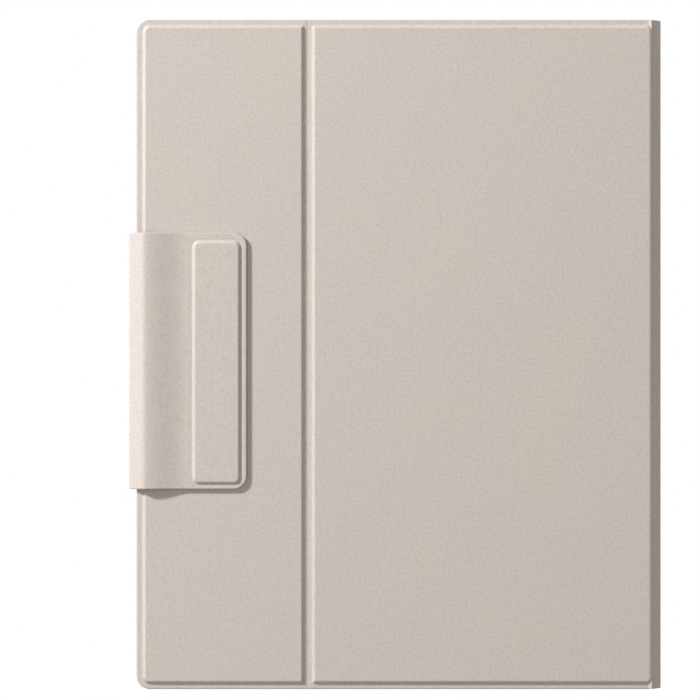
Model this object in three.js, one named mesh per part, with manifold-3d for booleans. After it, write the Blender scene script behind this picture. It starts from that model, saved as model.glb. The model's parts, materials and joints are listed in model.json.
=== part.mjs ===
// A 10.3-inch e-reader inside a closed magnetic folio. Millimetres, +Z up.
// The origin is the centre of the back panel's outer face, +Y is the long direction,
// and +X points at the spine.
import * as THREE from 'three';
import Module from 'manifold-3d';

const wasm = await Module();
wasm.setup();

// reader, driving sizes
const readerWidth = 183;
const readerLength = 235;
const readerThick = 4.6;
const readerCorner = 6;
const readerOffset = -0.5;
const readerGap = 0.3;
const coverGap = 0.4;
const bezelSide = 11.5;
const bezelEnd = 11.2;
const wallThick = 1.4;
const floorThick = 0.7;
const bezelDepth = 1.25;
const frameBelow = 0.95;
const frameThick = 0.4;
const fitGap = 0.1;

// folio, driving sizes; the panels reach past the reader on three sides and stop short of it at the spine
const endMargin = 2.5;
const openMargin = 2;
const spineOverlap = 0.4;
const spineDepth = 3.6;
const cornerRadius = 4.8;
const spineCorner = 1;
const rimWidth = 1.9;
const endRim = 1.65;
const boardRise = 1.25;
const skinOverBoard = 0.7;
const skinRim = 0.65;
const liningThick = 0.55;
const layerGap = 0.06;
const boardLip = 1.3;
const edgeSlope = 1.45;
const narrowWidth = 61.5;
const creaseGap = 0.3;
const channelHalf = 1.1;
const boardCorner = 2.9;

// flap, driving sizes; bulge, crest and hump's end are counted from the folio's open edge
const flapWidth = 39.5;
const flapLength = 91.8;
const flapMiddle = -2.3;
const bulgeOut = 2.8;
const crestIn = 3.4;
const humpEndIn = 17.8;
const flapGap = 0.3;
const strapThick = 1.3;
const flapSkinThick = 0.8;
const humpRise = 1.75;
const flapCorner = 4.7;
const padRise = 0.9;
const padWidth = 17.85;
const padInset = 1.8;
const padSlope = 1.4;
const padEnds = [1.45, 2.6];

// places that follow from the sizes above
const halfWide = readerWidth / 2;
const halfLong = readerLength / 2;
const caseLength = readerLength + 2 * endMargin;
const caseLeft = readerOffset - halfWide - openMargin;
const panelRight = readerOffset + halfWide - spineOverlap;
const caseNose = panelRight + spineDepth;
const creaseX = caseLeft + narrowWidth;
const flapRight = caseLeft + flapWidth;
const flapTop = flapMiddle + flapLength / 2;
const flapBottom = flapMiddle - flapLength / 2;
const flapBulge = caseLeft - bulgeOut;
const humpCrestX = caseLeft + crestIn;
const humpEndX = caseLeft + humpEndIn;

// heights that follow from the sizes above
const panelThick = boardRise + skinRim + layerGap + liningThick;
const backTop = panelThick;
const readerZ = backTop + readerGap;
const readerTop = readerZ + readerThick;
const coverBottom = readerTop + coverGap;
const coverTop = coverBottom + panelThick;
const midHeight = coverTop / 2;
const halfLength = caseLength / 2;

// colour, roughness and metalness of each finish
const finishes = {
  skin: [0xc8bfb8, 0.62, 0],
  lining: [0xa9a198, 0.95, 0],
  board: [0x8f887c, 0.9, 0],
  steel: [0xacafb1, 0.36, 1],
  magnet: [0xbcbec0, 0.28, 1],
  shell: [0xcac9c5, 0.55, 0],
  bezel: [0xd9d7d1, 0.5, 0],
  lens: [0xdcdcd5, 0.5, 0],
  glass: [0xbfc4bd, 0.3, 0],
  circuit: [0x2c5c46, 0.35, 0],
  pouch: [0x74777c, 0.42, 0.7],
  black: [0x28292c, 0.5, 0],
  flex: [0xa86f2b, 0.32, 0],
};

function material(name) {
  const [color, roughness, metalness] = finishes[name];
  return new THREE.MeshStandardMaterial({ name, color, roughness, metalness });
}

// a closed mesh from welded points and triangles
function solid(points, faces) {
  const mesh = new wasm.Mesh({
    numProp: 3,
    vertProperties: new Float32Array(points.flat()),
    triVerts: new Uint32Array(faces.flat()),
  });
  return new wasm.Manifold(mesh);
}

// the corners of a rounded rectangle, anticlockwise, with radii [bottom left, bottom right, top right, top left]
function roundedRing(box, radii, inset, steps) {
  const [x0, x1, y0, y1] = [box[0] + inset, box[1] - inset, box[2] + inset, box[3] - inset];
  const centres = [
    [x0, y0, 1, 1, Math.PI],
    [x1, y0, -1, 1, 1.5 * Math.PI],
    [x1, y1, -1, -1, 0],
    [x0, y1, 1, -1, 0.5 * Math.PI],
  ];
  const ring = [];
  centres.forEach(([x, y, sx, sy, start], i) => {
    const r = Math.max(radii[i] - inset, 0.05);
    for (let k = 0; k <= steps; k++) {
      const a = start + (k / steps) * 0.5 * Math.PI;
      ring.push([x + sx * r + r * Math.cos(a), y + sy * r + r * Math.sin(a)]);
    }
  });
  return ring;
}

// a rounded plate built up from levels [inset, z], lowest first
function plate(box, radii, levels, steps = 5) {
  const rings = levels.map(([inset, z]) => (
    roundedRing(box, radii, inset, steps).map(([x, y]) => [x, y, z])
  ));
  const n = rings[0].length;
  const faces = [];
  for (let k = 0; k + 1 < rings.length; k++) {
    for (let i = 0; i < n; i++) {
      const j = (i + 1) % n;
      faces.push([k * n + i, k * n + j, (k + 1) * n + j]);
      faces.push([k * n + i, (k + 1) * n + j, (k + 1) * n + i]);
    }
  }
  const last = (rings.length - 1) * n;
  for (let i = 1; i + 1 < n; i++) {
    faces.push([0, i + 1, i]);
    faces.push([last, last + i, last + i + 1]);
  }
  return solid(rings.flat(), faces);
}

function same(radius) {
  return [radius, radius, radius, radius];
}

function block(x0, x1, y0, y1, z0, z1, radius = 0.2) {
  return plate([x0, x1, y0, y1], same(radius), [[0, z0], [0, z1]], 2);
}

// a block on its centre in X and Y, resting on z0
function blockAt(x, y, width, length, z0, height, radius = 0.2) {
  return block(x - width / 2, x + width / 2, y - length / 2, y + length / 2, z0, z0 + height, radius);
}

// an outline in X and Z, anticlockwise seen from -Y, drawn along Y
function alongY(outline, y0, y1) {
  const shape = new THREE.Shape(outline.map(([x, z]) => new THREE.Vector2(x, z)));
  const drawn = new THREE.ExtrudeGeometry(shape, { depth: y1 - y0, bevelEnabled: false });
  drawn.rotateX(Math.PI / 2);
  drawn.translate(0, y1, 0);
  return fromGeometry(drawn);
}

function fromGeometry(geometry) {
  const at = geometry.getAttribute('position');
  const known = new Map();
  const points = [];
  const order = [];
  for (let i = 0; i < at.count; i++) {
    const p = [at.getX(i), at.getY(i), at.getZ(i)];
    const key = p.map((v) => Math.round(v * 1e5)).join();
    if (!known.has(key)) {
      known.set(key, points.length);
      points.push(p);
    }
    order.push(known.get(key));
  }
  const index = geometry.index ? Array.from(geometry.index.array, (i) => order[i]) : order;
  const faces = [];
  for (let i = 0; i < index.length; i += 3) {
    const [a, b, c] = index.slice(i, i + 3);
    if (a !== b && b !== c && a !== c) {
      faces.push([a, b, c]);
    }
  }
  return solid(points, faces);
}

// an upright round pin or hole
function roundPin(x, y, radius, z0, z1, sides = 16) {
  const ring = [];
  for (let i = 0; i < sides; i++) {
    const a = (i / sides) * 2 * Math.PI;
    ring.push([x + radius * Math.cos(a), y + radius * Math.sin(a)]);
  }
  const points = [z0, z1].flatMap((z) => ring.map(([px, py]) => [px, py, z]));
  const faces = [];
  for (let i = 0; i < sides; i++) {
    const j = (i + 1) % sides;
    faces.push([i, j, sides + j]);
    faces.push([i, sides + j, sides + i]);
  }
  for (let i = 1; i + 1 < sides; i++) {
    faces.push([0, i + 1, i]);
    faces.push([sides, sides + i, sides + i + 1]);
  }
  return solid(points, faces);
}

// a round hole along Y
function holeAlongY(x, z, radius, y0, y1, sides = 10) {
  const ring = [];
  for (let i = 0; i < sides; i++) {
    const a = (i / sides) * 2 * Math.PI;
    ring.push([x + radius * Math.cos(a), z + radius * Math.sin(a)]);
  }
  return alongY(ring, y0, y1);
}

function cut(body, tools) {
  return tools.reduce((left, tool) => left.subtract(tool), body);
}

// mirrors a solid from the cover's side of the folio to the back panel's side
function toBack(body) {
  return body.mirror([0, 0, 1]).translate([0, 0, coverTop]);
}

const group = new THREE.Group();
group.name = 'ereader_folio';

function add(name, body, look) {
  const made = body.getMesh();
  const geometry = new THREE.BufferGeometry();
  const points = new Float32Array((made.vertProperties.length / made.numProp) * 3);
  for (let i = 0; i < points.length / 3; i++) {
    for (let k = 0; k < 3; k++) {
      points[3 * i + k] = made.vertProperties[made.numProp * i + k];
    }
  }
  geometry.setAttribute('position', new THREE.BufferAttribute(points, 3));
  geometry.setIndex(new THREE.BufferAttribute(new Uint32Array(made.triVerts), 1));
  geometry.computeVertexNormals();
  const mesh = new THREE.Mesh(geometry, material(look));
  mesh.name = name;
  group.add(mesh);
}

// one covered panel, drawn as the cover's: lining below, board in the skin's pocket, rise on top
// outline and foot are [x0, x1, y0, y1] boxes, the foot being where the board's slope meets the rim
function panel(outline, radii, foot, footRadii) {
  const liningTop = coverBottom + liningThick;
  const skinBottom = liningTop + layerGap;
  const rimTop = skinBottom + skinRim;
  const top = rimTop + boardRise;
  const base = plate(outline, radii, [[0.15, skinBottom], [0, skinBottom + 0.2], [0, rimTop - 0.25], [0.25, rimTop]]);
  const rise = plate(foot, footRadii, [
    [0, rimTop - 0.3],
    [0, rimTop],
    [edgeSlope * 0.3, rimTop + boardRise * 0.22],
    [edgeSlope * 0.7, rimTop + boardRise * 0.78],
    [edgeSlope, top],
  ]);
  const pocketTop = top - skinOverBoard;
  const pocket = plate(foot, footRadii, [[boardLip, skinBottom - 1], [boardLip, pocketTop]]);
  const boardBody = plate(foot, footRadii, [
    [boardLip + fitGap, skinBottom],
    [boardLip + fitGap, pocketTop - layerGap],
  ]);
  const lining = plate(outline, radii, [
    [0.45, coverBottom],
    [0.3, coverBottom + 0.15],
    [0.3, liningTop],
  ]);
  return { skin: base.add(rise).subtract(pocket), board: boardBody, lining, boardZ: [skinBottom, pocketTop - layerGap] };
}

const footLeft = caseLeft + rimWidth;
const footEnd = halfLength - endRim;
const wideLeft = creaseX + channelHalf;

// bar magnets that hold the reader to the back panel, [x, y] of each centre
const magnetX = readerOffset - halfWide + wallThick + 7.6;
const magnetSpots = [[magnetX, 44], [magnetX, -44]];
const magnetSize = [4, 40];

function backPanel() {
  const made = panel(
    [caseLeft, panelRight, -halfLength, halfLength],
    [cornerRadius, spineCorner, spineCorner, cornerRadius],
    [footLeft, panelRight, -footEnd, footEnd],
    [boardCorner, 2.4, 2.4, boardCorner],
  );
  const [z0, z1] = [coverTop - made.boardZ[1], coverTop - made.boardZ[0]];
  const slots = magnetSpots.map(([x, y]) => (
    blockAt(x, y, magnetSize[0] + 2 * fitGap, magnetSize[1] + 2 * fitGap, z0 - 1, z1 - z0 + 2)
  ));
  add('back_skin', toBack(made.skin), 'skin');
  add('back_board', cut(toBack(made.board), slots), 'board');
  add('back_lining', toBack(made.lining), 'lining');
  magnetSpots.forEach(([x, y], i) => {
    add(`back_magnet_${i + 1}`, blockAt(x, y, magnetSize[0], magnetSize[1], z0, z1 - z0), 'magnet');
  });
}

const sleepMagnet = [readerOffset + halfWide - 23, halfLong - 29.5];

function widePanel() {
  const made = panel(
    [creaseX + creaseGap / 2, panelRight, -halfLength, halfLength],
    [0.3, spineCorner, spineCorner, 0.3],
    [wideLeft, panelRight, -footEnd, footEnd],
    [1.2, 2.4, 2.4, 1.2],
  );
  const [z0, z1] = made.boardZ;
  const [x, y] = sleepMagnet;
  const seat = roundPin(x, y, 4 + fitGap, z0 - 1, z1 + 1, 24);
  add('wide_skin', made.skin, 'skin');
  add('wide_board', made.board.subtract(seat), 'board');
  add('wide_lining', made.lining, 'lining');
  add('sleep_magnet', roundPin(x, y, 4, z0, z1, 24), 'magnet');
}

const padCentreX = flapRight - padInset - padWidth / 2;
const padCentreY = (flapTop + flapBottom) / 2;

function narrowPanel() {
  const made = panel(
    [caseLeft, creaseX - creaseGap / 2, -halfLength, halfLength],
    [cornerRadius, 0.3, 0.3, cornerRadius],
    [footLeft, creaseX - channelHalf, -footEnd, footEnd],
    [boardCorner, 1.2, 1.2, boardCorner],
  );
  const [z0, z1] = made.boardZ;
  const plateBox = [padCentreX - 6, padCentreX + 6, padCentreY - 36, padCentreY + 36];
  const seat = plate(plateBox, same(2), [[-fitGap, z1 - 0.6], [-fitGap, z1 + 1]]);
  const catchPlate = plate(plateBox, same(2), [[0, z1 - 0.6 + layerGap], [0, z1]]);
  add('narrow_skin', made.skin, 'skin');
  add('narrow_board', made.board.subtract(seat), 'board');
  add('narrow_lining', made.lining, 'lining');
  add('catch_plate', catchPlate, 'steel');
}

// the spine's section: |x / a|^p + |z / b|^p = 1 about the panels' edge at mid height
const spineFoot = panelRight + 0.2;
const spineStart = panelRight + 0.5;
const spinePower = 1.2;

function spineCurve(inset, steps = 14) {
  const a = caseNose - spineFoot - inset;
  const b = midHeight - 0.4 - inset;
  const reach = spineStart - spineFoot;
  const zAtStart = b * (1 - (reach / a) ** spinePower) ** (1 / spinePower);
  const curve = [];
  for (let i = 0; i <= steps; i++) {
    const t = -1 + (2 * i) / steps;
    const z = zAtStart * Math.sin(t * Math.PI / 2);
    const x = a * (1 - (Math.abs(z) / b) ** spinePower) ** (1 / spinePower);
    curve.push([spineFoot + x, midHeight + z]);
  }
  return curve;
}

function spine() {
  const layer = (outer, inner) => [...spineCurve(outer), ...spineCurve(inner).reverse()];
  const y = halfLength - 0.1;
  add('spine_skin', alongY(layer(0, 0.75), -y, y), 'skin');
  add('spine_lining', alongY(layer(0.82, 1.2), -y + 0.3, y - 0.3), 'lining');
}

// the flap's section, outer face, from the back panel's edge up, over the hump and along the strap
const strapBottom = coverTop + flapGap;
const strapTop = strapBottom + strapThick;
const crestZ = strapTop + humpRise;
const lowTurn = 2.5;
const highTurn = 2;
const crestTurn = 2.3;
const facetTilt = 38;
const wallShare = [0.2, 0.28];

// points on an arc, angles in degrees anticlockwise from +X
function arc(x, z, radius, from, to, steps) {
  const points = [];
  for (let i = 0; i <= steps; i++) {
    const a = (from + ((to - from) * i) / steps) * (Math.PI / 180);
    points.push([x + radius * Math.cos(a), z + radius * Math.sin(a)]);
  }
  return points;
}

// moves a curve to its right-hand side by a distance
function offsetCurve(points, distance) {
  return points.map((p, i) => {
    const before = points[Math.max(i - 1, 0)];
    const after = points[Math.min(i + 1, points.length - 1)];
    const [dx, dz] = [after[0] - before[0], after[1] - before[1]];
    const length = Math.hypot(dx, dz);
    return [p[0] + (distance * dz) / length, p[1] - (distance * dx) / length];
  });
}

// the outer face in two stretches, parted on the slanting facet between wall and crest
function flapCurves() {
  const crest = arc(humpCrestX, crestZ - crestTurn, crestTurn, 90 + facetTilt, 90, 5);
  const turnX = flapBulge + highTurn;
  const turned = arc(turnX, 0, highTurn, 180, 90 + facetTilt, 4);
  const facetEnd = crest[0];
  const run = facetEnd[0] - turned[4][0];
  const turnZ = facetEnd[1] - run * Math.tan(facetTilt * Math.PI / 180) - turned[4][1];
  const facetStart = [turned[4][0], turned[4][1] + turnZ];
  const onFacet = (share) => facetStart.map((v, k) => v + (facetEnd[k] - v) * share);
  const wall = [
    ...arc(caseLeft - 0.3, 0.9 + lowTurn, lowTurn, 270, 180, 6),
    ...turned.map(([x, z]) => [x, z + turnZ]),
    onFacet(wallShare[0]),
  ];
  const strap = [onFacet(wallShare[1]), ...crest];
  for (let i = 1; i <= 10; i++) {
    const t = i / 10;
    const fall = t ** 2 * (3 - 2 * t);
    strap.push([humpCrestX + (humpEndX - humpCrestX) * t, crestZ - humpRise * fall]);
  }
  strap.push([flapRight + 2, strapTop]);
  return { wall, strap };
}

function strapLayer(part, outer, inner) {
  const curve = flapCurves()[part];
  return [...offsetCurve(curve, inner), ...offsetCurve(curve, outer).reverse()];
}

function flapWall() {
  const skin = alongY(strapLayer('wall', 0, flapSkinThick), flapBottom, flapTop);
  const lining = alongY(strapLayer('wall', flapSkinThick + layerGap, strapThick), flapBottom + 0.3, flapTop - 0.3);
  add('flap_wall_skin', skin, 'skin');
  add('flap_wall_lining', lining, 'lining');
}

function flap() {
  const plan = (inset) => plate(
    [flapBulge - 3, flapRight, flapBottom, flapTop],
    [0.5, flapCorner, flapCorner, 0.5],
    [[inset, 0], [inset, crestZ + 5]],
  );
  const padBox = [padCentreX - padWidth / 2, padCentreX + padWidth / 2, flapBottom + padEnds[0], flapTop - padEnds[1]];
  const pad = plate(padBox, same(2.8), [
    [0, strapTop - 0.4],
    [0, strapTop],
    [padSlope * 0.3, strapTop + padRise * 0.22],
    [padSlope * 0.7, strapTop + padRise * 0.78],
    [padSlope, strapTop + padRise],
  ]);
  const skinBottom = strapTop - flapSkinThick;
  const pocketTop = strapTop + padRise - 0.6;
  const pocket = plate(padBox, same(2.8), [[1.6, skinBottom - 1], [1.6, pocketTop]]);
  const sheet = alongY(strapLayer('strap', 0, flapSkinThick), flapBottom - 1, flapTop + 1);
  const skin = sheet.intersect(plan(0)).add(pad).subtract(pocket);
  const insertTop = pocketTop - layerGap;
  const insert = plate(padBox, same(2.8), [[1.6 + fitGap, skinBottom], [1.6 + fitGap, insertTop]]);
  const spots = [padCentreY + 24, padCentreY - 24];
  const seats = spots.map((y) => blockAt(padCentreX, y, 8 + 2 * fitGap, 20 + 2 * fitGap, skinBottom - 1, 5));
  const lining = alongY(strapLayer('strap', flapSkinThick + layerGap, strapThick), flapBottom - 1, flapTop + 1);
  add('flap_skin', skin, 'skin');
  add('flap_insert', cut(insert, seats), 'board');
  add('flap_lining', lining.intersect(plan(0.3)), 'lining');
  spots.forEach((y, i) => {
    add(`flap_magnet_${i + 1}`, blockAt(padCentreX, y, 8, 20, skinBottom, insertTop - skinBottom), 'magnet');
  });
}

// reader, levels from its rear face up
const rx = readerOffset;
const bayBottom = readerZ + floorThick;
const bezelZ = readerTop - bezelDepth;
const frameZ = bezelZ - frameBelow;
const shellTop = bezelZ - 0.05;
const readerBox = [rx - halfWide, rx + halfWide, -halfLong, halfLong];
const partBottom = bayBottom + 0.08;
const partTop = frameZ - 0.08;
const screwSpots = [-1, 1].flatMap((side) => (
  [19.5 - halfLong, 4, halfLong - 19.5].map((y) => [rx + side * (halfWide - wallThick - 2.6), y])
));
const buttonX = rx + halfWide - 29;
const buttonLength = 12;
const buttonZ = [bayBottom + 0.25, frameZ - 0.2];
const buttonTravel = 0.3;
const portDepth = 7.3;
const portHeight = 2.96;
const portWidth = 8.94;
const portZ = shellTop - portHeight - 0.02;
const speakerX = [-52, 51];
const micOffset = 12;
const screenEnd = halfLong - bezelEnd;
const lensZ = readerTop - 0.5;
const panelZ = lensZ - 0.8;
const boardLeft = rx - halfWide + 29.5;
const cables = [
  { name: 'display_cable', x: boardLeft + 32, width: 28 },
  { name: 'touch_cable', x: boardLeft + 92, width: 10 },
];
const cableSlotY = screenEnd + 2.4;

function readerShell() {
  const outer = plate(readerBox, same(readerCorner), [
    [1.1, readerZ],
    [0.5, readerZ + 0.2],
    [0.15, readerZ + 0.6],
    [0, readerZ + 1.2],
    [0, shellTop],
  ], 6);
  const bay = plate(readerBox, same(readerCorner), [[wallThick, bayBottom], [wallThick, shellTop + 1]], 6);
  const bosses = screwSpots.map(([x, y]) => roundPin(x, y, 1.7, bayBottom - 0.2, frameZ - 0.05));
  const holes = screwSpots.map(([x, y]) => roundPin(x, y, 0.72, bayBottom + 0.1, frameZ + 1, 12));
  const buttonSlot = block(
    buttonX - buttonLength / 2 - 0.15, buttonX + buttonLength / 2 + 0.15,
    halfLong - wallThick - 0.5, halfLong + 1, buttonZ[0] - 0.12, buttonZ[1] + 0.12,
  );
  const portNotch = block(
    rx - portWidth / 2 - 0.15, rx + portWidth / 2 + 0.15,
    -halfLong - 1, -halfLong + wallThick + 0.5, portZ - 0.05, shellTop + 1,
  );
  const portBay = block(
    rx - portWidth / 2 - 0.15, rx + portWidth / 2 + 0.15,
    -halfLong + wallThick, -halfLong + portDepth + 0.6, portZ - 0.05, shellTop + 1,
  );
  const grille = speakerX.flatMap((x) => (
    [-2, -1, 0, 1, 2].map((k) => (
      holeAlongY(x + k * 2.4, readerZ + 1.9, 0.5, -halfLong - 1, -halfLong + wallThick + 0.5)
    ))
  ));
  const micHole = holeAlongY(rx + micOffset, readerZ + 1.6, 0.35, -halfLong - 1, -halfLong + wallThick + 0.5, 8);
  const tray = bosses.reduce((all, boss) => all.add(boss), outer.subtract(bay));
  add('rear_shell', cut(tray, [...holes, buttonSlot, portNotch, portBay, ...grille, micHole]), 'shell');
}

function screenStack() {
  const opening = [readerBox[0] + bezelSide, readerBox[1] - bezelSide, -screenEnd, screenEnd];
  const bezelOuter = plate(readerBox, same(readerCorner), [
    [0, bezelZ],
    [0, readerTop - 0.55],
    [0.15, readerTop - 0.2],
    [0.5, readerTop],
  ], 6);
  const hole = plate(opening, same(1.2), [[0, bezelZ - 1], [0, readerTop + 1]]);
  const layer = (z0, z1, inset, radius = 1) => plate(opening, same(radius), [[inset, z0], [inset, z1]], 3);
  const stackZ = frameZ + frameThick + 0.06;
  add('front_bezel', bezelOuter.subtract(hole), 'bezel');
  add('screen_lens', layer(lensZ, readerTop - 0.1, 0.12), 'lens');
  add('touch_sensor', layer(lensZ - 0.24, lensZ - 0.06, 0.3), 'glass');
  add('epaper_panel', layer(panelZ, lensZ - 0.3, 0.5), 'glass');
  add('digitizer_board', layer(stackZ, lensZ - 0.86, 0.7), 'circuit');
}

function midFrame() {
  const body = plate(readerBox, same(readerCorner), [
    [wallThick + fitGap, frameZ],
    [wallThick + fitGap, frameZ + frameThick],
  ], 6);
  const holes = screwSpots.map(([x, y]) => roundPin(x, y, 0.8, frameZ - 1, frameZ + 1, 12));
  const portNotch = block(
    rx - portWidth / 2 - 0.4, rx + portWidth / 2 + 0.4,
    -halfLong, -halfLong + portDepth + 0.9, frameZ - 1, frameZ + 1,
  );
  const slots = cables.map(({ x, width }) => blockAt(x, cableSlotY, width + 4, 2.2, frameZ - 1, 3));
  add('mid_frame', cut(body, [...holes, portNotch, ...slots]), 'steel');
}

function screws() {
  screwSpots.forEach(([x, y], i) => {
    const top = frameZ + frameThick + 0.05;
    const head = roundPin(x, y, 1.25, top, top + 0.42);
    const shank = roundPin(x, y, 0.56, bayBottom + 0.5, top + 0.1, 12);
    const slots = [[1.3, 0.3], [0.3, 1.3]].map(([w, l]) => blockAt(x, y, w, l, top + 0.2, 1, 0.05));
    add(`screw_${i + 1}`, cut(head.add(shank), slots), 'steel');
  });
}

function electronics() {
  const boardTop = partBottom + 0.5;
  const chipZ = boardTop + 0.05;
  const [top, bottom] = [halfLong, -halfLong];
  const cell = [halfWide - 17.5, bottom + 31.5, top - 63.5];
  const hall = sleepMagnet.map((v) => [v - 1.5, v + 1.5]).flat();
  const micX = rx + micOffset;
  add('main_board', block(boardLeft, boardLeft + 108, top - 55.5, top - 5.5, partBottom, boardTop, 1), 'circuit');
  add('shield_1', block(boardLeft + 12, boardLeft + 48, top - 49.5, top - 19.5, chipZ, partTop, 0.6), 'steel');
  add('shield_2', block(boardLeft + 58, boardLeft + 86, top - 45.5, top - 19.5, chipZ, partTop, 0.6), 'steel');
  add('battery_plug', block(boardLeft + 92, boardLeft + 102, top - 53.5, top - 48.5, chipZ, partTop - 0.1, 0.3), 'black');
  add('battery_1', block(rx - cell[0], rx - 3, cell[1], cell[2], partBottom, partTop, 2), 'pouch');
  add('battery_2', block(rx + 3, rx + cell[0], cell[1], cell[2], partBottom, partTop, 2), 'pouch');
  add('bottom_board', block(rx - 30, rx + 30, bottom + 9, bottom + 25.5, partBottom, boardTop, 1), 'circuit');
  add('hall_sensor', block(...hall, partBottom, partBottom + 0.9, 0.2), 'black');
  add('antenna', block(boardLeft - 22, boardLeft - 4, top - 13.5, top - 6.5, partBottom, partBottom + 0.4, 0.5), 'flex');
  add('microphone', block(micX - 1.8, micX + 1.8, bottom + 2.1, bottom + 5.7, partBottom, partBottom + 1.1, 0.3), 'steel');
  speakerX.forEach((x, i) => {
    add(`speaker_${i + 1}`, block(x - 11, x + 11, bottom + 2, bottom + 12.5, partBottom, partTop, 1.2), 'black');
  });
}

function chargingPort() {
  const y0 = -halfLong + 0.25;
  const outer = alongY(pill(portWidth, portHeight), y0, y0 + portDepth);
  const mouth = alongY(pill(portWidth - 0.5, portHeight - 0.5), y0 - 1, y0 + portDepth - 0.6);
  const tongue = block(rx - 3.3, rx + 3.3, y0 + 0.8, y0 + portDepth - 0.3, portMid - 0.35, portMid + 0.35, 0.15);
  add('charging_port', outer.subtract(mouth).add(tongue), 'steel');
}

const portMid = portZ + portHeight / 2;

function pill(width, height) {
  const r = height / 2;
  const outline = [];
  [1, -1].forEach((side) => {
    for (let i = 0; i <= 8; i++) {
      const a = side * (Math.PI / 2) * (1 - (2 * i) / 8);
      const x = side * (width / 2 - r) + side * r * Math.cos(a);
      outline.push([rx + x, portMid - side * r * Math.sin(side * a)]);
    }
  });
  return outline;
}

function powerButton() {
  const inner = halfLong - wallThick - 0.15;
  const [x0, x1] = [buttonX - buttonLength / 2, buttonX + buttonLength / 2];
  const cap = block(x0, x1, inner - 0.3, halfLong + 0.4, buttonZ[0], buttonZ[1], 0.4);
  const flange = block(x0 - 1, x1 + 1, inner - 0.45, inner, buttonZ[0], buttonZ[1], 0.1);
  add('power_button', cap.add(flange), 'bezel');
  const face = inner - 0.45 - buttonTravel - 0.1;
  add('button_switch', block(buttonX - 3, buttonX + 3, face - 1.4, face, buttonZ[0], buttonZ[1], 0.2), 'steel');
}

// a thin cable that leaves the screen stack, turns down through the mid frame and ends on the main board
function cable(name, x, width, z) {
  const t = 0.14;
  const edge = screenEnd - 0.25;
  const out = screenEnd + 2.2;
  const low = partBottom + 0.62;
  const outline = [
    [edge, z], [out, z], [out, low], [edge - 4, low],
    [edge - 4, low + t], [out - t, low + t], [out - t, z - t], [edge, z - t],
  ];
  const shape = new THREE.Shape(outline.map(([y, h]) => new THREE.Vector2(y, h)));
  const drawn = new THREE.ExtrudeGeometry(shape, { depth: width, bevelEnabled: false });
  drawn.rotateX(Math.PI / 2);
  drawn.rotateZ(Math.PI / 2);
  drawn.translate(x - width / 2, 0, 0);
  add(name, fromGeometry(drawn), 'flex');
}

function readerMagnets() {
  magnetSpots.forEach(([x, y], i) => {
    add(`reader_magnet_${i + 1}`, blockAt(x, y, magnetSize[0], magnetSize[1], partBottom, partTop - partBottom), 'magnet');
  });
}

backPanel();
widePanel();
narrowPanel();
spine();
flapWall();
flap();
readerShell();
screenStack();
midFrame();
screws();
electronics();
chargingPort();
powerButton();
cables.forEach(({ name, x, width }) => cable(name, x, width, panelZ));
readerMagnets();

export default group;
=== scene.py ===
# E-reader closed inside a leatherette folio: looks, light and camera.
import json
import math

import bmesh
import bpy
import numpy as np
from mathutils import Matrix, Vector


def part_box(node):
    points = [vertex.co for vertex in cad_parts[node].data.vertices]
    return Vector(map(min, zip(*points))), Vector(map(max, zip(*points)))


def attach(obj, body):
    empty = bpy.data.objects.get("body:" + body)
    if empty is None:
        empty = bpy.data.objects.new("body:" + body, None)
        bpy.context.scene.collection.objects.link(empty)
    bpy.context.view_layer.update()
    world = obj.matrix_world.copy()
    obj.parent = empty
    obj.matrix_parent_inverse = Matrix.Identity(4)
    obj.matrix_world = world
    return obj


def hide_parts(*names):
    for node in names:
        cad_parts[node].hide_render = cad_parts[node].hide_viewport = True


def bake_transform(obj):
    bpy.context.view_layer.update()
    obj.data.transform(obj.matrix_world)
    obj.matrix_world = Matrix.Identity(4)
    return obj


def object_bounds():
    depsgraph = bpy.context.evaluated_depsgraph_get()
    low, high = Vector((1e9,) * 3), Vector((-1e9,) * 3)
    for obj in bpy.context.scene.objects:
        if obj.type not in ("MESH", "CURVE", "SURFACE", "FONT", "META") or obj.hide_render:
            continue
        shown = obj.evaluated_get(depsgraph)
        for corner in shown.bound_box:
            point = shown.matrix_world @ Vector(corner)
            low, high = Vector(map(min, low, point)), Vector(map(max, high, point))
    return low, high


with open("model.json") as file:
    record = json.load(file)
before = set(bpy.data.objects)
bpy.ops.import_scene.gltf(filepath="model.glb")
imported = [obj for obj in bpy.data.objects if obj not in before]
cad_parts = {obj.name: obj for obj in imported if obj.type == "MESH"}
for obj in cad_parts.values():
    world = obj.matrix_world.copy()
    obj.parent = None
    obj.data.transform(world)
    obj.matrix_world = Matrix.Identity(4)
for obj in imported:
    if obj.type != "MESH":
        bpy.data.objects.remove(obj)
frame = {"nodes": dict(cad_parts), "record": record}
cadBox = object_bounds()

mm = 0.001


def srgb(*tone):
    # screen tone 0-255 to the linear colour that a shader takes
    return tuple(v / 255 / 12.92 if v < 10 else ((v / 255 + 0.055) / 1.055) ** 2.4 for v in tone) + (1.0,)


def smoothStep(t):
    # 0 to 1 with flat ends: 3t^2 - 2t^3
    t = np.clip(t, 0, 1)
    return t * t * (3 - 2 * t)


def gradedLine(a, b, spans, coarse, fine):
    # stations from a to b: the step is fine inside the spans and grows with the distance from them
    x = np.linspace(a, b, 8000)
    away = np.min([np.maximum(np.maximum(lo - x, x - hi), 0) for lo, hi in spans], axis=0)
    step = np.minimum(coarse, fine + 0.3 * away)
    count = np.concatenate([[0], np.cumsum(np.diff(x) / step[1:])])
    return np.interp(np.linspace(0, count[-1], int(count[-1]) + 2), count, x)


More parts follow.
